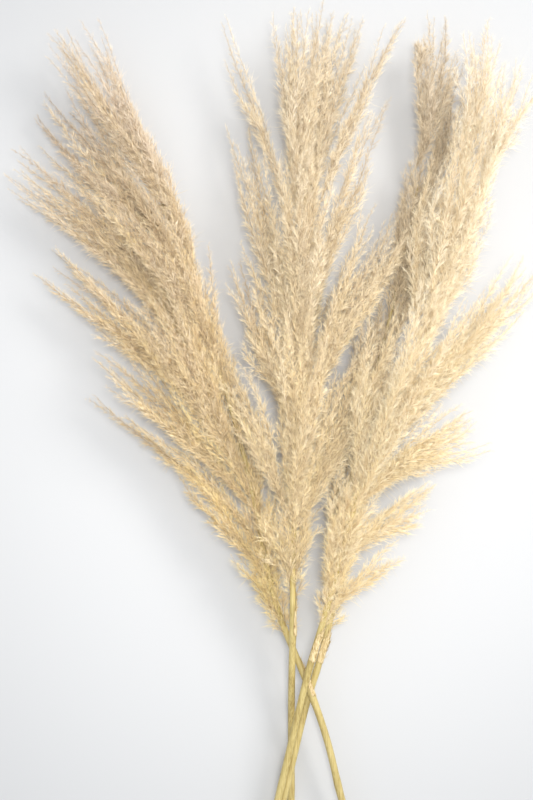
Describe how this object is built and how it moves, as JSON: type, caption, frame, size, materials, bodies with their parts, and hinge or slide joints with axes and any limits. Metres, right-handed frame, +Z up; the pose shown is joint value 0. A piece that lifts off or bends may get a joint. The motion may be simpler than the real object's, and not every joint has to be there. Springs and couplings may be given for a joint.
{
  "type": "bundle of pampas grass",
  "caption": "Loose bunch of dried pampas grass: straw-coloured cut stems cross at the middle and fan out into tall feathery plumes, lying on a flat surface.",
  "frame": {"origin": "on the surface that the bunch lies on, under the middle of the bunch's box", "axes": "+Y runs along the bunch from the cut stem ends to the plume tips, +Z is up from the surface, +X goes to the right as seen from above with the plumes pointing away"},
  "size_m": [0.6022, 1.0118, 0.1443],
  "materials": {
    "straw_stem": "satin",
    "leaf_sheath": "matte",
    "left_plume": "matte",
    "centre_plume": "matte",
    "right_front_plume": "matte",
    "right_back_plume": "matte"
  },
  "bodies": {
    "root": {"centre_leaf_sheath": "leaf_sheath", "centre_spray_01": "centre_plume", "centre_spray_02": "centre_plume", "centre_spray_03": "centre_plume", "centre_spray_04": "centre_plume", "centre_spray_05": "centre_plume", "centre_spray_06": "centre_plume", "centre_spray_07": "centre_plume", "centre_spray_08": "centre_plume", "centre_spray_09": "centre_plume", "centre_spray_10": "centre_plume", "centre_spray_11": "centre_plume", "centre_spray_12": "centre_plume", "centre_spray_13": "centre_plume", "centre_spray_14": "centre_plume", "centre_spray_15": "centre_plume", "centre_stem": "straw_stem", "left_leaf_sheath": "leaf_sheath", "left_spray_01": "left_plume", "left_spray_02": "left_plume", "left_spray_03": "left_plume", "left_spray_04": "left_plume", "left_spray_05": "left_plume", "left_spray_06": "left_plume", "left_spray_07": "left_plume", "left_spray_08": "left_plume", "left_spray_09": "left_plume", "left_spray_10": "left_plume", "left_spray_11": "left_plume", "left_spray_12": "left_plume", "left_spray_13": "left_plume", "left_spray_14": "left_plume", "left_stem": "straw_stem", "right_back_leaf_sheath": "leaf_sheath", "right_back_spray_01": "right_back_plume", "right_back_spray_02": "right_back_plume", "right_back_spray_03": "right_back_plume", "right_back_spray_04": "right_back_plume", "right_back_spray_05": "right_back_plume", "right_back_spray_06": "right_back_plume", "right_back_spray_07": "right_back_plume", "right_back_spray_08": "right_back_plume", "right_back_spray_09": "right_back_plume", "right_back_spray_10": "right_back_plume", "right_back_stem": "straw_stem", "right_front_leaf_sheath": "leaf_sheath", "right_front_spray_01": "right_front_plume", "right_front_spray_02": "right_front_plume", "right_front_spray_03": "right_front_plume", "right_front_spray_04": "right_front_plume", "right_front_spray_05": "right_front_plume", "right_front_spray_06": "right_front_plume", "right_front_spray_07": "right_front_plume", "right_front_spray_08": "right_front_plume", "right_front_spray_09": "right_front_plume", "right_front_spray_10": "right_front_plume", "right_front_spray_11": "right_front_plume", "right_front_spray_12": "right_front_plume", "right_front_spray_13": "right_front_plume", "right_front_stem": "straw_stem"}
  },
  "joints": []
}
